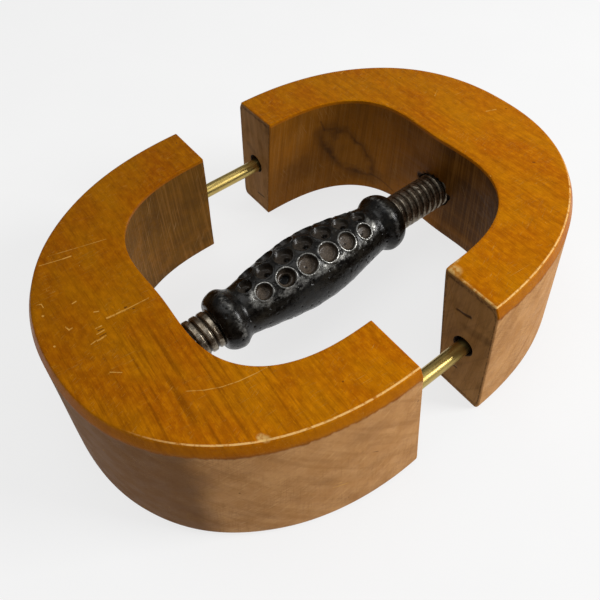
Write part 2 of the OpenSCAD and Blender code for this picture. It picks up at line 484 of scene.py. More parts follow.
def inner_wood(name, seed, tone, stain):
    """The hollow's wall: dark old wood with the cutter's upright lines. tone holds the colour of
    the arms, the colour of the rest, and the distances around the wall between which they meet.
    On the right half the colour of the rest is darker as painted shade on the boss's front side."""
    s = Surface(name, shine=0.04, tint=(1.0, 0.6, 0.25))
    fine, medium, broad = fibres(s, seed)
    wall = wall_place(s)
    warm, dull, near, far = tone
    tool = s.noise((0.75, 8, 34), seed + 3, 2, place=slanted(s, wall, 5))
    tool_wide = s.noise((2.4, 8, 80), seed + 5, 3, place=slanted(s, wall, 4))
    grime = s.noise((18, 22, 16), seed + 8, 4)
    along = s.swayed(s.value("around"), grime, 8 * MM)
    # On the right half the colour before near is painted shade on the front side of the boss.
    colour = s.over(dull, warm, along, near, far)
    shade = s.blend(0.5, colour, (0.01, 0.004, 0.001))
    colour = s.over(colour, shade, grime, 0.35, 0.7, 0.6)
    colour = s.over(colour, (0.25, 0.092, 0.007), broad, 0.4, 0.75, 0.35)
    colour = s.over(colour, (0.24, 0.105, 0.022), tool, 0.48, 0.68, 0.4)
    colour = s.over(colour, shade, tool, 0.3, 0.46, 0.0, 0.4)
    colour = s.over(colour, shade, tool_wide, 0.5, 0.75, 0.4)
    colour = s.over(colour, (0.07, 0.026, 0.004), fine, 0.5, 0.8, 0.3)
    pale_marks = s.noise((0.2, 8, 15), seed + 41, 1, place=slanted(s, wall, -24))
    where = s.noise((12, 12, 16), seed + 45, 2)
    pale_marks = s.times(s.band(pale_marks, 0.64, 0.72), s.band(where, 0.44, 0.6))
    colour = s.blend(s.times(pale_marks, 0.45), colour, (0.38, 0.23, 0.095))
    if stain:
        colour = knot_stain(s, wall, colour, stain, seed)
    soot = s.times(s.band(s.axis("Z"), BLOCK_H - 1.3 * MM, BLOCK_H - 0.2 * MM),
                  s.band(grime, 0.44, 0.6, 0.15, 0.8))
    colour = s.blend(soot, colour, (0.04, 0.015, 0.003))
    relief = s.plus(s.times(tool, 0.8), s.times(tool_wide, 0.9))
    s.bump(relief, 0.1 * MM, 0.7)
    return s.finish(colour, s.band(medium, 0.3, 0.7, 0.45, 0.62))


def knot_stain(s, wall, colour, stain, seed):
    """A leaning blotch with thin dark rims and a tail, as a knot leaves in the wall."""
    centre, half_long, half_wide, lean, tail = stain
    wobble = s.noise((7, 8, 7), seed + 81, 4)
    offset = slanted(s, s.vector("SUBTRACT", wall, centre), lean)
    flat = s.vector("MULTIPLY", offset, (1 / half_long, 0, 1 / half_wide))
    distance = s.swayed(s.vector("LENGTH", flat), wobble, 0.75)
    inside = s.times(s.band(distance, 0.75, 1.0, 1.0, 0.0), 0.3)
    colour = s.blend(inside, colour, (0.23, 0.088, 0.008))
    halo = s.band(s.math("ABSOLUTE", s.minus(distance, 1.1)), 0.05, 0.4, 0.35, 0.0)
    colour = s.blend(halo, colour, (0.07, 0.026, 0.004))
    faint = s.band(wobble, 0.35, 0.65, 0.25, 1.0)
    for size, depth in ((1.0, 0.62), (0.78, 0.34)):
        away = s.math("ABSOLUTE", s.minus(distance, size))
        ring = s.times(s.band(away, 0.02, 0.19, depth, 0.0), faint)
        colour = s.blend(ring, colour, (0.034, 0.012, 0.003))
    return s.blend(s.times(s.lines(tail, wall), 0.45), colour, (0.034, 0.012, 0.003))


def end_wood(name, seed, gouges, smudges):
    """The flat end faces: dull brown wood with small dark gouges and a dark crumbling rim."""
    s = Surface(name, shine=0.06, tint=(1.0, 0.7, 0.4))
    fine = s.noise((3, 0.5, 7), seed, 2)
    medium = s.noise((5, 3, 22), seed + 4, 4)
    grime = s.noise((8, 8, 10), seed + 6, 5)
    colour = s.over((0.225, 0.108, 0.03), (0.29, 0.145, 0.046), medium, 0.3, 0.7)
    colour = s.over(colour, (0.12, 0.055, 0.016), grime, 0.5, 0.75, 0.55)
    colour = s.over(colour, (0.12, 0.056, 0.018), fine, 0.5, 0.75, 0.4)
    smudge = s.times(s.lines(smudges), s.band(medium, 0.25, 0.6, 0.9, 0.3))
    colour = s.blend(s.times(smudge, 0.9), colour, (0.05, 0.021, 0.006))
    rings = s.noise((9, 1.6, 40), seed + 9, 2, place=s.turned((-28, 0, 0)))
    colour = s.over(colour, (0.12, 0.056, 0.018), rings, 0.5, 0.75, 0.25)
    dark = s.either(specks(s, seed + 12, 6, 0.07, 0.35), s.lines(gouges))
    colour = s.blend(s.times(dark, 0.85), colour, (0.022, 0.009, 0.003))
    crumble = s.noise((1.3, 1.3, 1.3), seed + 15, 4)
    rim = s.times(s.band(s.value("wear"), 0.1, 0.9), s.band(crumble, 0.36, 0.56))
    colour = s.blend(s.times(rim, 0.75), colour, (0.055, 0.024, 0.008))
    relief = s.minus(s.plus(fine, grime), s.times(dark, 2.0))
    s.bump(relief, 0.12 * MM, 0.8)
    return s.finish(colour, s.band(grime, 0.3, 0.7, 0.6, 0.78))


def bore_wood(name):
    """The inside of the holes: raw torn wood, nearly black."""
    s = Surface(name, roughness=0.8)
    torn = s.noise((0.8, 0.8, 0.8), 3.0, 4)
    s.bump(torn, 0.2 * MM)
    return s.finish(s.over((0.01, 0.006, 0.003), (0.06, 0.026, 0.01), torn, 0.35, 0.7))


def brass():
    """Drawn brass rod, dulled and greenish, with fine lines along it."""
    s = Surface("brass", metallic=1.0)
    drawn = s.noise((30, 0.3, 0.3), 2.0, 2)
    tarnish = s.noise((9, 3, 3), 6.0, 4)
    colour = s.over((0.56, 0.415, 0.135), (0.42, 0.31, 0.095), tarnish, 0.3, 0.7)
    colour = s.over(colour, (0.26, 0.18, 0.055), drawn, 0.5, 0.8, 0.3)
    stain = specks(s, 9.0, 2.6, 0.12, 0.3)
    colour = s.blend(s.times(stain, 0.4), colour, (0.16, 0.105, 0.04))
    s.bump(s.plus(drawn, s.times(tarnish, 0.4)), 0.015 * MM, 0.5)
    return s.finish(colour, s.band(tarnish, 0.3, 0.7, 0.26, 0.4))


def cast_iron():
    """Black japanned casting, polished by hands: bright on the dimples' lips, the beads and the
    shoulders, and dull in the hollows. The bright band below the front row and the shoulders' front
    side are partly painted sheen."""
    s = Surface("cast_iron", shine=0.22)
    grit = s.noise((0.4, 0.4, 0.4), 4.0, 3)
    blotch = s.noise((2.6, 1.9, 1.9), 7.0, 5, rough=0.65)
    patch = s.noise((9, 6, 6), 11.0, 3)
    black = s.over((0.002, 0.0019, 0.0018), (0.01, 0.0088, 0.007), blotch, 0.35, 0.65)
    black = s.over(black, (0.02, 0.017, 0.012), patch, 0.5, 0.72, 0.6)
    bare = s.over((0.18, 0.176, 0.158), (0.46, 0.456, 0.43), grit, 0.35, 0.65)
    # worn is rubbed bare metal, and below the front row and on the shoulders' front side also painted
    # sheen.
    worn = s.band(s.swayed(s.value("wear"), blotch, 1.1), 0.42, 1.00)
    colour = s.blend(worn, black, bare)
    floor = s.over((0.026, 0.019, 0.013), (0.085, 0.064, 0.045), grit, 0.3, 0.7)
    colour = s.blend(s.times(s.value("floor"), s.band(blotch, 0.2, 0.4)), colour, floor)
    colour = s.blend(s.value("pit"), colour, (0.002, 0.0018, 0.0015))
    pits = specks(s, 15.0, 1.9, 0.2, 0.3)
    colour = s.blend(s.times(pits, 0.8), colour, (0.003, 0.0028, 0.0025))
    s.put(s.times(worn, 0.95), s.shader.inputs["Metallic"])
    relief = s.minus(s.plus(grit, s.times(blotch, 1.6)), pits)
    s.bump(relief, 0.07 * MM, 0.7)
    return s.finish(colour, s.band(blotch, 0.3, 0.7, 0.18, 0.36))


def old_steel():
    """The screws: grey-brown steel, darker in the grooves and lighter along the crests."""
    s = Surface("old_steel", metallic=0.85)
    patina = s.noise((2.6, 1.6, 1.6), 3.0, 5)
    grit = s.noise((0.4, 0.4, 0.4), 8.0, 3)
    colour = s.over((0.19, 0.15, 0.105), (0.09, 0.067, 0.042), patina, 0.3, 0.7)
    crest = s.times(s.value("crest"), s.band(patina, 0.3, 0.62, 1.0, 0.2))
    colour = s.blend(s.times(crest, 0.45), colour, (0.48, 0.44, 0.36))
    groove = s.band(s.value("crest"), 0.0, 0.55, 0.88, 0.0)
    colour = s.blend(groove, colour, (0.016, 0.011, 0.007))
    s.bump(s.plus(grit, s.times(patina, 1.2)), 0.06 * MM, 0.8)
    return s.finish(colour, s.band(grit, 0.3, 0.7, 0.22, 0.4))


# ---- wooden halves


def even_angles(outline, count):
    """Angles from -90 to 90 degrees that cut outline(angle) into count pieces of equal length,
    with closer ones near both ends, then each one's distance along it, then its full length."""
    fine = 3000
    angles = [pi * (i / fine - 0.5) for i in range(fine + 1)]
    points = [outline(a) for a in angles]
    lengths = [0.0]
    for a, b in zip(points, points[1:]):
        lengths.append(lengths[-1] + (b - a).length)
    total = lengths[-1]

    def at(share):
        goal = share * total
        low = min(bisect_right(lengths, goal), fine) - 1
        span = lengths[low + 1] - lengths[low]
        part = (goal - lengths[low]) / span if span else 0.0
        return mix(angles[low], angles[low + 1], part)

    ends = [d * MM / total for d in (0.0, 0.12, 0.3, 0.5, 0.9)]
    middle = [mix(2 * MM / total, 1 - 2 * MM / total, i / count) for i in range(count + 1)]
    shares = ends + middle + [1 - d for d in reversed(ends)]
    return [at(share) for share in shares], [share * total for share in shares], total


def outer_point(angle, inset):
    return Vector((
        (LONG - inset) * abs(cos(angle)) ** (2 / OUTER_SQUARENESS),
        (WIDE - inset) * signed_power(sin(angle), 2 / OUTER_SQUARENESS), 0))


def outer_inset(z):
    return OUTER_FLARE * (z - FOOT_H) / BLOCK_H


def inner_point(angle, z):
    x = HOLLOW_LONG * abs(cos(angle)) ** (2 / HOLLOW_SQUARENESS)
    y = HOLLOW_WIDE * signed_power(sin(angle), 2 / HOLLOW_SQUARENESS)
    x = max(0.0, x - BOSS_DEPTH * exp(-(y / BOSS_SPREAD) ** 2 / 2))
    low = 1 - z / BLOCK_H
    longer = 1 + HOLLOW_FLARE_X / HOLLOW_LONG * low
    wider = 1 + HOLLOW_FLARE_Y / HOLLOW_WIDE * low
    return Vector((x * longer, y * wider, 0))


def section(width):
    """The wall's section: each point's distance in from the outer wall, height, and part."""
    loop = []

    def add(part, points):
        loop.extend((d, z, part) for d, z in points)

    def steps(a, b, count):
        return [mix(a, b, (i + 0.5) / count) for i in range(count)]

    quarter = [radians(90 * i / 5) for i in range(6)]
    shoulder = BLOCK_H - TOP_BEVEL_H
    add("outer", [(FOOT_W * (1 - sin(a)), FOOT_H * (1 - cos(a))) for a in quarter])
    add("outer", [(0, z) for z in steps(FOOT_H, shoulder - 0.4 * MM, 26)])
    add("outer", [(0.0, shoulder - 0.3 * MM), (0.12 * MM, shoulder + 0.3 * MM)])
    bevel_d, bevel_z = (0.12 * MM, TOP_BEVEL_W - 0.2 * MM), (shoulder + 0.3 * MM, BLOCK_H - 0.4 * MM)
    add("bevel", [(mix(*bevel_d, f), mix(*bevel_z, f)) for f in (0.33, 0.66, 1.0)])
    add("arris", [(TOP_BEVEL_W, BLOCK_H - 0.12 * MM), (TOP_BEVEL_W + 0.3 * MM, BLOCK_H)])
    add("top", [(d, BLOCK_H) for d in steps(TOP_BEVEL_W + 0.5 * MM, width - EDGE_R - 0.2 * MM, 24)])
    cut = 0.13 * MM
    add("rim", [(width - EDGE_R, BLOCK_H), (width - cut, BLOCK_H - cut), (width, BLOCK_H - EDGE_R)])
    add("inner", [(width, z) for z in steps(BLOCK_H - EDGE_R - 0.2 * MM, EDGE_R + 0.2 * MM, 30)])
    add("inner", [(width, EDGE_R), (width - cut, cut), (width - EDGE_R, 0)])
    add("under", [(d, 0) for d in steps(width - EDGE_R - 0.2 * MM, FOOT_W + 0.3 * MM, 12)])
    return loop


def inset_loop(loop, amount):
    """The section's points moved inwards by amount, for the rounded edges of the end faces."""
    moved = []
    for i, (d, z, part) in enumerate(loop):
        before = loop[i - 1]
        after = loop[(i + 1) % len(loop)]
        along = Vector((after[0] - before[0], after[1] - before[1]))
        along.normalize()
        moved.append((d + along.y * amount, z - along.x * amount, part))
    return moved


def front_wear_and_highlight(y):
    """How pale the top's outer edge is: worn pale wood and a painted highlight along the front, and
    hardly at all behind.
    """
    return mix(0.4, 1.0, smooth(15 * MM, 66 * MM, -y))


class Half:
    """One C-shaped half. side is +1 for the right half and -1 for the left. Each dent is
    (start, end, radius, depth, direction of the push), in metres."""

    def __init__(self, name, side, seed, dents, materials):
        self.side = side
        self.seed = seed
        self.dents = [(Vector(a), Vector(b), r, depth, Vector(push).normalized())
                      for a, b, r, depth, push in dents]
        self.points = []
        self.faces = []
        self.kinds = []
        self.wear = []
        self.around = []
        self.build()
        self.piece = make_object(name, self.points, self.faces, materials, self.kinds, SHARP_WOOD,
                                 wear=self.wear, around=self.around)

    def world(self, x, y, z):
        return Vector((self.side * (x + END_FACE), y, z))

    def shaped(self, point):
        """The point with the slight waviness of handwork and with the dents pressed in."""
        wave = Vector([rough(point, 31 * MM, self.seed + more) for more in (0, 3)] + [0])
        result = point + wave * 0.18 * MM
        for start, end, radius, depth, push in self.dents:
            along = end - start
            share = 0.0
            if along.length_squared:
                share = min(max((point - start).dot(along) / along.length_squared, 0.0), 1.0)
            distance = (point - start - along * share).length
            if distance < radius * 2:
                result = result + push * depth * exp(-(distance / radius) ** 2 * 2)
        return result

    def add_point(self, point, wear, around=0.0):
        self.points.append(self.shaped(point))
        self.wear.append(wear)
        self.around.append(around)
        return len(self.points) - 1

    def build(self):
        middle = BLOCK_H / 2
        inset = outer_inset(middle)
        outer_angles, outer_along, total = even_angles(lambda a: outer_point(a, inset), 150)
        inner_angles, inner_along, _ = even_angles(lambda a: inner_point(a, middle), 150)
        rings = [self.ring(*stations, total)
                 for stations in zip(outer_angles, inner_angles, outer_along, inner_along)]
        kinds = [INNER if part == "inner" else VARNISHED for d, z, part in section(20 * MM)]
        for a, b in zip(rings, rings[1:]):
            self.join(a, b, kinds)
        self.cap(rings[0], -1)
        self.cap(rings[-1], 1)

    def join(self, a, b, kinds):
        """Quads between two loops of points."""
        for i, kind in enumerate(kinds):
            j = (i + 1) % len(kinds)
            self.faces.append((a[i], a[j], b[j], b[i]))
            self.kinds.append(kind)

    def ring(self, outer_angle, inner_angle, outer_along, inner_along, total):
        """One section's points. Near the end faces they draw in, which rounds the end faces' edges."""
        from_end = min(outer_along, total - outer_along)
        middle = BLOCK_H / 2
        wall = inner_point(inner_angle, middle) - outer_point(outer_angle, outer_inset(middle))
        loop = section(wall.length)
        if from_end < EDGE_R:
            loop = inset_loop(loop, EDGE_R - sqrt(EDGE_R ** 2 - (EDGE_R - from_end) ** 2))
        ring = []
        for d, z, part in loop:
            outside = outer_point(outer_angle, outer_inset(z))
            inside = inner_point(inner_angle, z)
            flat = mix(outside, inside, d / wall.length)
            # The arris's wear value also carries its painted highlight.
            wear = {"arris": front_wear_and_highlight(flat.y), "rim": 0.4}.get(part, 0.0)
            along = inner_along if part == "inner" else outer_along
            ring.append(self.add_point(self.world(flat.x, flat.y, z), wear, along))
        return ring

    def cap(self, ring, end):
        """An end face: loops that shrink from the section's edge to the rod's hole, then the hole."""
        hole = self.world(0, end * ROD_Y, ROD_HOLE_Z)
        edge = [self.points[i].copy() for i in ring]
        angles = [atan2(p.z - hole.z, p.y - hole.y) for p in edge]
        steps = 18
        mouth = ROD_HOLE_R + 0.35 * MM

        def round_hole(angle, radius):
            spot = Vector((cos(angle), sin(angle), end)) * 3 * MM
            torn = 0.16 * MM * rough(spot, 1.1 * MM, self.seed)
            return ring_point(hole.x, radius + torn, angle, hole.y, hole.z)

        loops = [ring]
        for k in range(1, steps + 1):
            wear = 0.9 if k < 2 else 0.0
            loops.append([self.add_point(mix(p, round_hole(a, mouth), k / steps), wear)
                          for p, a in zip(edge, angles)])
        for deep in (0.4 * MM, 3 * MM, 12 * MM, ROD_HOLE_DEPTH):
            inward = Vector((self.side * deep, 0, 0))
            loops.append([self.add_point(round_hole(a, ROD_HOLE_R) + inward, 0.0) for a in angles])
        bottom = self.add_point(hole + Vector((self.side * ROD_HOLE_DEPTH, 0, 0)), 0.0)
        for depth, (a, b) in enumerate(zip(loops, loops[1:])):
            self.join(a, b, [END if depth < steps else BORE] * len(ring))
        last = loops[-1]
        for i, point in enumerate(last):
            self.faces.append((point, last[(i + 1) % len(last)], bottom))
            self.kinds.append(BORE)

    def drill(self, cutter):
        """Cuts the screw's hole and keeps the result as the piece's mesh."""
        cut = self.piece.modifiers.new("drill", "BOOLEAN")
        cut.operation = "DIFFERENCE"
        cut.solver = "EXACT"
        cut.object = cutter
        cut.material_mode = "TRANSFER"
        bpy.context.view_layer.update()
        graph = bpy.context.evaluated_depsgraph_get()
        mesh = bpy.data.meshes.new_from_object(self.piece.evaluated_get(graph))
        self.piece.modifiers.clear()
        self.piece.data = mesh
        mesh.set_sharp_from_angle(angle=radians(SHARP_WOOD))
        bpy.data.objects.remove(cutter)


def hole_cutter(side, material):
    """A tapped hole's shape: a helix of grooves, with a torn, wider mouth where it enters the wall."""
    around = 90
    start = HOLLOW_LONG - BOSS_DEPTH - 3 * MM
    wall = (HOLLOW_LONG - BOSS_DEPTH) * (1 + HOLLOW_FLARE_X / HOLLOW_LONG * (1 - SCREW_Z / BLOCK_H))
    depth = 88.4 * MM
    rings = 150
    points = []
    stations = [mix(start, depth, (row / (rings - 1)) ** 1.6) for row in range(rings)]
    for x, angle in turns(stations, around):
        thread = 0.5 * MM * abs(sin(pi * (x / PITCH + angle / TURN)))
        spot = Vector((cos(angle) * 8 * MM, sin(angle) * 8 * MM, x * 0.6))
        teeth = smooth(-0.15, 0.35, rough(spot, 2.1 * MM, side * 3))
        torn = 1.9 * MM * teeth * exp(-max(0.0, x - wall) / (1.4 * MM))
        r = SCREW_R + 0.12 * MM + thread + torn
        points.append(ring_point(side * (END_FACE + x), r, angle, z=SCREW_Z))
    faces = tube_faces(rings, around)
    faces.append(tuple(range(around)))
    faces.append(tuple((rings - 1) * around + k for k in range(around)))
    return make_object("screw_hole_cutter", points, faces, [material])


# ---- rods


def guide_rod(name, y, material):
    """A drawn rod with chamfered ends, worn slightly thinner in places."""
    around = 48
    rows = 90
    ends = [(0.0, 0.0), (0.0, ROD_R - 0.6 * MM), (0.25 * MM, ROD_R - 0.2 * MM), (0.6 * MM, ROD_R)]
    profile = [(rod_low[0] + x, r) for x, r in ends]
    first, last = rod_low[0] + 1.2 * MM, rod_high[0] - 1.2 * MM
    profile += [(mix(first, last, i / rows), ROD_R) for i in range(rows + 1)]
    profile += [(rod_high[0] - x, r) for x, r in reversed(ends)]
    points = []
    for (x, r), angle in turns(profile, around):
        spot = ring_point(x * 0.3, ROD_R, angle, z=y)
        worn = r - 0.035 * MM * (0.5 + 0.5 * rough(spot, 3 * MM, 2)) if r else 0.0
        points.append(ring_point(x, worn, angle, y, ROD_Z))
    return make_object(name, points, tube_faces(len(profile), around), [material])


# ---- turnscrew


def grip_radius(u):
    return NECK_R + (GRIP_R - NECK_R) * (0.5 + 0.5 * cos(pi * u / NECK_X)) ** 0.62


def handle_radius(u):
    u = abs(u)
    if u < NECK_X:
        return grip_radius(u)
    if u < BEAD_X:
        share = (u - NECK_X) / (BEAD_X - NECK_X)
        return mix(NECK_R, BEAD_R, 0.5 - 0.5 * cos(pi * share))
    share = min((u - BEAD_X) / (HANDLE_HALF - BEAD_X), 1.0)
    return HANDLE_END_R + (BEAD_R - HANDLE_END_R) * cos(pi / 2 * share) ** 0.5


class Dimple:
    """A flat-floored dimple, at a distance u along the handle and an angle around it in degrees.
    polish is how bright its lip is rubbed, and the value after it how pale its floor is: dusty on the
    front row, and darker on the other rows, partly as painted shade. The floor may have a small
    drill mark at pip (along, around, radius), or a deeper step in it."""

    def __init__(self, u, angle, polish, dust_and_shade, depth=DIMPLE_DEPTH, pip=None, step=None):
        self.u = u
        self.angle = radians(angle)
        self.polish = polish
        self.dust_and_shade = dust_and_shade
        self.radius = DIMPLE_R - 0.8 * MM * (u / (25 * MM)) ** 2
        self.floor = grip_radius(u) - depth
        self.pip = pip
        self.step = step

    def press(self, u, angle, r):
        """The surface's radius with the dimple pressed in, then how polished its lip is, how much
        the place is the dimple's floor, and how much it is a drill mark."""
        turn = (angle - self.angle + pi) % TURN - pi
        along, across = u - self.u, r * sin(turn)
        if abs(turn) > 0.8 or abs(along) > self.radius + 2 * MM:
            return r, 0.0, 0.0, 0.0
        distance = hypot(along, across)
        floor = self.floor / cos(turn) - 0.18 * MM * (1 - (distance / self.radius) ** 2)
        mark = 0.0
        if self.step:
            mark = smooth_down(self.step[0] - 0.35 * MM, self.step[0], distance)
            floor -= self.step[1] * mark
        if self.pip:
            right, up, size = self.pip
            mark = smooth_down(size * 0.6, size, hypot(along - right, across - up))
            floor -= size * 0.9 * mark
        lip = exp(-((distance - self.radius - 0.4 * MM) / (0.45 * MM)) ** 2)
        wall = smooth(self.radius - 0.45 * MM, self.radius + 0.12 * MM, distance)
        raised = r + 0.24 * MM * lip
        pressed = mix(min(floor, raised), raised, wall)
        return pressed, lip * self.polish, (1 - wall) * self.dust_and_shade, (1 - wall) * mark


def handle_dimples():
    """Three staggered rows on each of two opposite sides. One dimple is a deeper, stepped hole."""
    dimples = []
    for side in (0, 180):
        for i in range(6):
            deep = i == 1 and side == 0
            pip = (-0.7 * MM, 0.6 * MM, 0.55 * MM) if i in (2, 4, 5) else None
            angle = FRONT_ROW + side + 0.7 * (i - 2.5)
            depth, step = (2.6 * MM, (2.5 * MM, 2.2 * MM)) if deep else (DIMPLE_DEPTH, None)
            dimples.append(Dimple((i - 2.5) * ROW_STEP, angle, 0.85, 1.0, depth, pip, step))
            # The back rows' floors are darker than the front row's: partly painted shade.
            dimples.append(Dimple((i - 2.5) * ROW_STEP, REAR_ROW + side, 0.4, 0.45))
        for i in range(7):
            u = (i - 3) * MIDDLE_ROW_STEP - 1.2 * MM
            pip = (0.9 * MM, 0.9 * MM, 1.45 * MM)
            # Darker floors here as well: partly painted shade.
            dimples.append(Dimple(u, MIDDLE_ROW + side, 0.42, 0.45, pip=pip))
    return dimples


def handle(material):
    around, rows = 260, 330
    dimples = handle_dimples()
    points, wear, floors, pits = [], [], [], []
    ends = [0.0, SHANK_R * 0.99, HANDLE_END_R - 0.5 * MM]
    stations = [(-HANDLE_HALF, r) for r in ends]
    stations += [(mix(-HANDLE_HALF, HANDLE_HALF, i / rows), None) for i in range(rows + 1)]
    stations += [(HANDLE_HALF, r) for r in reversed(ends)]
    for (u, fixed), angle in turns(stations, around):
        r = handle_radius(u) if fixed is None else fixed
        rub, floor, pit = 0.0, 0.0, 0.0
        if fixed is None:
            spot = ring_point(u, r, angle)
            r += 0.16 * MM * rough(spot, 9 * MM, 5) + 0.07 * MM * rough(spot, 2.2 * MM, 6)
            r -= 0.28 * MM * smooth(0.42, 0.62, rough(spot, 1.5 * MM, 8))
            for dimple in dimples:
                r, lip, inside, mark = dimple.press(u, angle, r)
                rub = max(rub, lip)
                floor = max(floor, inside)
                pit = max(pit, mark)
            rub = max(rub, handle_rub_and_sheen(u, angle))
        points.append(ring_point(HANDLE_X + u, r, angle, z=SCREW_Z))
        wear.append(rub * (1 - floor))
        floors.append(floor)
        pits.append(pit)
    return make_object("handle_casting", points, tube_faces(len(stations), around), [material],
                       sharp_angle=50, wear=wear, floor=floors, pit=pits)


def handle_rub_and_sheen(u, angle):
    """How much hands have rubbed a place: the beads' crowns, the shoulders, and a band below the
    front row of dimples. The band and the shoulders' front side are also painted sheen, placed where
    the highlights fall."""
    bead = exp(-((abs(u) - BEAD_X) / (2.6 * MM)) ** 2)
    shoulder = exp(-((abs(u) - 30 * MM) / (2.8 * MM)) ** 2)
    below, near = 0.0, 0.0
    for side in (0, 180):
        turn = (degrees(angle) - MIDDLE_ROW - side + 180) % 360 - 180
        below = max(below, exp(-((turn - 52) / 16) ** 2))
        near = max(near, exp(-((turn - 34) / 30) ** 2))
    middle = smooth_down(28 * MM, 38 * MM, abs(u))
    # The shoulder and below terms are rubbed metal and painted sheen together.
    return max(0.54 * bead, 0.8 * shoulder * near, 0.58 * below * middle, 0.24)


def thread_height(phase):
    """0 in the narrow groove and 1 on the broad rounded crest, over one pitch."""
    share = phase % 1.0
    away = min(share, 1 - share)
    return smooth(0.02, 0.24, away) * (0.9 + 0.1 * sin(pi * share))


def screw(name, side, material):
    """A stud with worn round-crested threads, left-handed on the right side and the mirror
    image of that on the left."""
    low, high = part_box(name)
    near, far = (low[0], high[0]) if side > 0 else (-high[0], -low[0])
    start = HANDLE_HALF + side * HANDLE_X
    around = 96
    step = PITCH / 18
    rows = int((far - start) / step)
    stations = [(near, 0.0), (near, SHANK_R), (start - 0.02 * MM, SHANK_R)]
    stations += [(start + step * i, None) for i in range(rows)]
    stations += [(far, None), (far, 0.0)]
    points, crests = [], []
    for (x, r), angle in turns(stations, around):
        crest = 0.0
        if r is None:
            crest = thread_height(x / PITCH + angle / TURN)
            spot = ring_point(x, SCREW_R, angle)
            nick = 0.16 * MM * smooth(0.3, 0.6, rough(spot, 1.3 * MM, 4))
            worn = 0.07 * MM * (0.5 + 0.5 * rough(spot, 4 * MM, 2))
            r = SCREW_R - THREAD_DEPTH + THREAD_DEPTH * crest - (nick + worn) * crest
            r = min(r, SHANK_R + 0.55 * (far - x))
        points.append(ring_point(side * x, r, angle, z=SCREW_Z))
        crests.append(crest)
    return make_object(name + "_threaded", points, tube_faces(len(stations), around), [material],
                       sharp_angle=60, crest=crests)


# ---- camera, light and floor


def camera():
    """Stands close above the front left corner, as a person looks down at the tool on a table."""
    azimuth, elevation, roll = (radians(a) for a in (-34.47, 53.95, -3.96))
    target = Vector((-17.18, -12.32, 30)) * MM
    distance = 217.2 * MM
    back = Vector((sin(azimuth) * cos(elevation), -cos(azimuth) * cos(elevation), sin(elevation)))
    right = (-back).cross(Vector((0, 0, 1))).normalized()
    up = back.cross(right)
    rolled_right = right * cos(roll) + up * sin(roll)
    rolled_up = up * cos(roll) - right * sin(roll)
    data = bpy.data.cameras.new("camera")
    data.lens = 32.98
    data.clip_start = 0.01
    data.clip_end = 20
    eye = new_object("camera", data)
    turn = Matrix((rolled_right, rolled_up, back)).transposed().to_4x4()
    eye.matrix_world = Matrix.Translation(target + back * distance) @ turn
    bpy.context.scene.camera = eye


def area_light(name, place, size, power):
    data = bpy.data.lights.new(name, "AREA")
    data.shape = "RECTANGLE"
    data.size, data.size_y = size
    data.energy = power
    lamp = new_object(name, data)
    lamp.location = place
    middle = Vector((0, 0, 30)) * MM
    lamp.rotation_euler = (middle - Vector(place)).to_track_quat("-Z", "Y").to_euler()


def studio():
    """Pale paper that glows a little, as a light table does, lit softly from the right and above.
    The background looks nearly white but lights the object only weakly."""
    bpy.context.scene.view_settings.view_transform = "Standard"
    world = bpy.data.worlds.new("studio")
    world.use_nodes = True
    nodes, links = world.node_tree.nodes, world.node_tree.links
    background = nodes["Background"]
    background.inputs["Color"].default_value = (1, 1, 1, 1)
    strength = nodes.new("ShaderNodeMapRange")
    links.new(nodes.new("ShaderNodeLightPath").outputs["Is Camera Ray"], strength.inputs["Value"])
    strength.inputs["To Min"].default_value = 0.26
    strength.inputs["To Max"].default_value = 0.92
    links.new(strength.outputs["Result"], background.inputs["Strength"])
    bpy.context.scene.world = world
    area_light("key", (0.64, -0.56, 0.54), (0.34, 0.34), 9.4)
    area_light("top", (-0.05, 0.1, 1.00), (0.7, 0.7), 3.2)

    material = Surface("floor_paper", roughness=0.9, shine=0.0)
    mottle = material.noise((50, 50, 50), 1.0)
    material.fill(material.shader, Emission_Color=(1, 1, 1), Emission_Strength=0.74)
    paper = material.finish(material.blend(mottle, (0.165, 0.165, 0.165), (0.185, 0.185, 0.185)))
    corners = [(-15, -15, 0), (15, -15, 0), (15, 15, 0), (-15, 15, 0)]
    floor = make_object("floor", corners, [(0, 1, 2, 3)], [paper])


# ---- marks of use, and the left wall's painted shade, in millimetres


def point_mm(x, y, z=BLOCK_H / MM):
    """A point from millimetres. It lies on the top where no height is given."""
    return Vector((x, y, z)) * MM


def in_metres(marks):
    return [(point_mm(*a), point_mm(*b), width * MM) for a, b, width in marks]


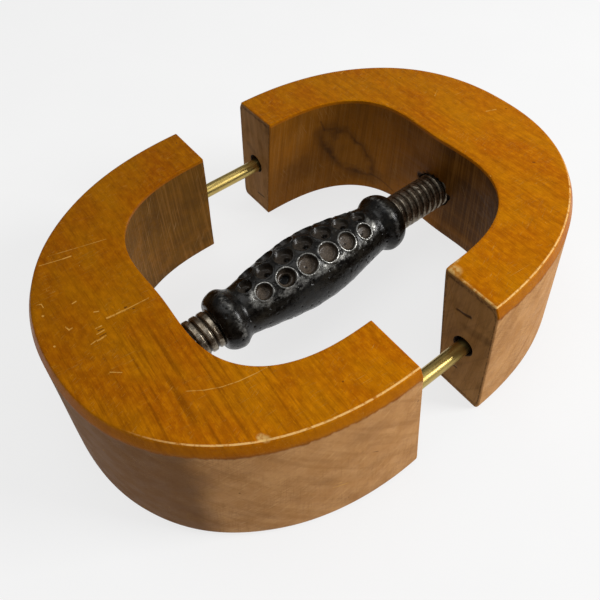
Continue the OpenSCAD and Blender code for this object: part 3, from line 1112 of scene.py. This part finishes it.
LEFT_MARKS = {
    # The distance around the left outer wall beyond which painted shade, mixed with darker wood,
    # darkens it.
    "shade": 76 * MM,
    "rear_tone": 0.75,
    "streaks": (point_mm(-72, -40), 0.4),
    "bare": in_metres([((-66.9, -60.6), (-65.9, -62.2), 1.5)]),
    "pale": in_metres([
        ((-82.6, 3.9), (-75.8, 2.9), 0.5),
        ((-75.8, 2.9), (-68.1, 2.4), 0.24),
        ((-87.3, 41.9), (-67.5, 36.1), 0.16),
        ((-91.6, 39.7), (-83.6, 37.3), 0.2),
        ((-83.6, 37.3), (-80.8, 36.7), 0.4),
        ((-87.3, 2.4), (-85.4, 2.2), 0.34),
        ((-87.9, 0.1), (-85.4, 0.1), 0.3),
        ((-88.8, -2.3), (-86.0, -2.2), 0.42),
        ((-91.0, -2.2), (-88.9, -1.9), 0.3),
        ((-84.9, 8.8), (-83.6, 8.1), 0.3),
        ((-89.1, 16.6), (-87.8, 16.7), 0.34),
        ((-76.0, -35.2), (-71.5, -38.4), 0.16),
        ((-71.5, -38.4), (-66.8, -40.8), 0.2),
        ((-66.8, -40.8), (-61.8, -42.4), 0.22),
        ((-61.8, -42.4), (-56.0, -43.5), 0.22),
        ((-56.0, -43.5), (-50.0, -44.1), 0.18),
        ((-90.8, -15.1), (-88.0, -17.5), 0.22),
        ((-94.7, 9.2), (-94.3, 7.4), 0.32),
        ((-94.3, 7.4), (-93.3, 7.5), 0.36),
        ((-98.7, 23.7), (-97.4, 23.1), 0.26),
        ((-97.4, 23.1), (-97.4, 21.2), 0.22),
        ((-98.9, 18.2), (-98.8, 18.0), 0.5),
        ((-100.6, 4.6), (-100.5, 4.4), 0.45),
        ((-52.1, -75.1, 21.8), (-46.8, -76.6, 20.2), 0.26),
        ((-53.6, -74.6, 24.2), (-49.0, -75.8, 22.8), 0.22),
    ]),
    "dark": in_metres([
        ((-87.1, 1.1), (-85.5, 0.9), 0.3),
        ((-87.6, -1.3), (-85.5, -1.3), 0.26),
        ((-76.2, 3.9), (-75.6, 3.8), 0.45),
        ((-74.2, 1.8), (-73.9, 1.7), 0.4),
        ((-109.3, -14.1, 33.7), (-105.2, -30.0, 32.2), 0.3),
        ((-52.1, -72.6, 43.1), (-50.0, -73.2, 42.2), 0.4),
        ((-50.1, -73.2, 42.6), (-49.2, -74.4, 36.8), 0.34),
        ((-54.0, -72.4, 40.5), (-51.0, -73.2, 40.9), 0.3),
        ((-66.2, -68.2, 38.0), (-65.6, -68.4, 38.0), 0.55),
        ((-37.3, -76.8, 32.4), (-35.0, -77.2, 30.6), 0.28),
    ]),
}
RIGHT_MARKS = {
    "shade": None,
    "rear_tone": 0.84,
    "streaks": (point_mm(88, 30), 0.1),
    "bare": in_metres([
        ((17.8, -51.8), (18.2, -53.6), 3.2),
        ((17.0, -55.0), (16.9, -72.0), 0.9),
        ((19.0, -50.8), (23.0, -50.8), 1.3),
    ]),
    "pale": in_metres([
        ((92.8, -2.0), (97.0, -3.8), 0.3),
        ((88.0, 22.0), (84.5, 20.0), 0.22),
        ((70.0, 62.0), (64.5, 60.5), 0.2),
    ]),
    "dark": in_metres([((81.4, -35.3), (81.8, -35.9), 0.4)]),
}
END_GOUGES = in_metres([
    ((16.8, -59.8, 45.0), (16.8, -65.4, 46.5), 1.0),
    ((16.8, -64.9, 13.9), (16.8, -67.4, 14.2), 0.55),
    ((16.8, 68.7, 9.2), (16.8, 63.3, 9.6), 0.6),
])
END_SMUDGES = in_metres([
    ((16.8, -66.3, 39.9), (16.8, -74.3, 42.0), 3.0),
    ((16.8, 67.5, 36.0), (16.8, 71.0, 38.5), 2.4),
])
LEFT_TONE = ((0.135, 0.056, 0.005), (0.12, 0.048, 0.005), 100 * MM, 150 * MM)
# The right half's inner wall is darker on its front side: painted shade.
RIGHT_TONE = ((0.225, 0.076, 0.002), (0.09, 0.032, 0.003), 84 * MM, 98 * MM)
RIGHT_KNOT = (point_mm(143.5, 0, 27), 19 * MM, 8 * MM, 56, in_metres([
    ((131.5, 0, 11.5), (126.0, 0, 9.0), 0.8),
    ((126.0, 0, 9.0), (119.0, 0, 4.5), 0.7),
    ((155.0, 0, 44.0), (157.0, 0, 50.0), 0.7),
]))
LEFT_DENTS = [
    ((-0.0668, -0.0612, 0.06), (-0.066, -0.0624, 0.06), 1.1 * MM, 0.7 * MM, (0.2, 0.5, -1)),
    ((-0.0825, 0.0042, 0.06), (-0.0785, 0.0036, 0.06), 0.6 * MM, 0.15 * MM, (0, 0, -1)),
    ((-0.089, -0.0545, 0.058), (-0.088, -0.0555, 0.058), 1.2 * MM, 0.4 * MM, (0.6, 0.5, -0.6)),
]
RIGHT_DENTS = [
    ((0.0168, -0.0505, 0.06), (0.0168, -0.056, 0.06), 1.8 * MM, 0.6 * MM, (0.6, 0, -1)),
    ((0.0167, -0.0598, 0.045), (0.0167, -0.0654, 0.0465), 0.8 * MM, 0.5 * MM, (1, 0, 0)),
]

# ---- the object

camera()
studio()

bore = bore_wood("bore_wood")
sides = {
    "left_half": (-1, 3.0, LEFT_DENTS, LEFT_MARKS, LEFT_TONE, None, "left_block"),
    "right_half": (1, 17.0, RIGHT_DENTS, RIGHT_MARKS, RIGHT_TONE, RIGHT_KNOT, "right_block"),
}
for node, (side, seed, dents, marks, tone, stain, body) in sides.items():
    materials = [
        varnished_wood(node + "_varnished", seed, marks),
        inner_wood(node + "_inner", seed + 2, tone, stain),
        end_wood(node + "_ends", seed + 4, END_GOUGES, END_SMUDGES),
        bore,
    ]
    half = Half(node + "_wood", side, seed, dents, materials)
    half.drill(hole_cutter(side, bore))
    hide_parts(node)
    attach(half.piece, body)

brass_material = brass()
for node, y in (("guide_rod_rear", ROD_Y), ("guide_rod_front", -ROD_Y)):
    rod = guide_rod(node + "_brass", y, brass_material)
    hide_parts(node)
    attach(rod, "rods")

casting = handle(cast_iron())
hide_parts("handle")
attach(casting, "turnscrew")

steel = old_steel()
for node, side in (("left_screw", -1), ("right_screw", 1)):
    stud = screw(node, side, steel)
    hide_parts(node)
    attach(stud, "turnscrew")
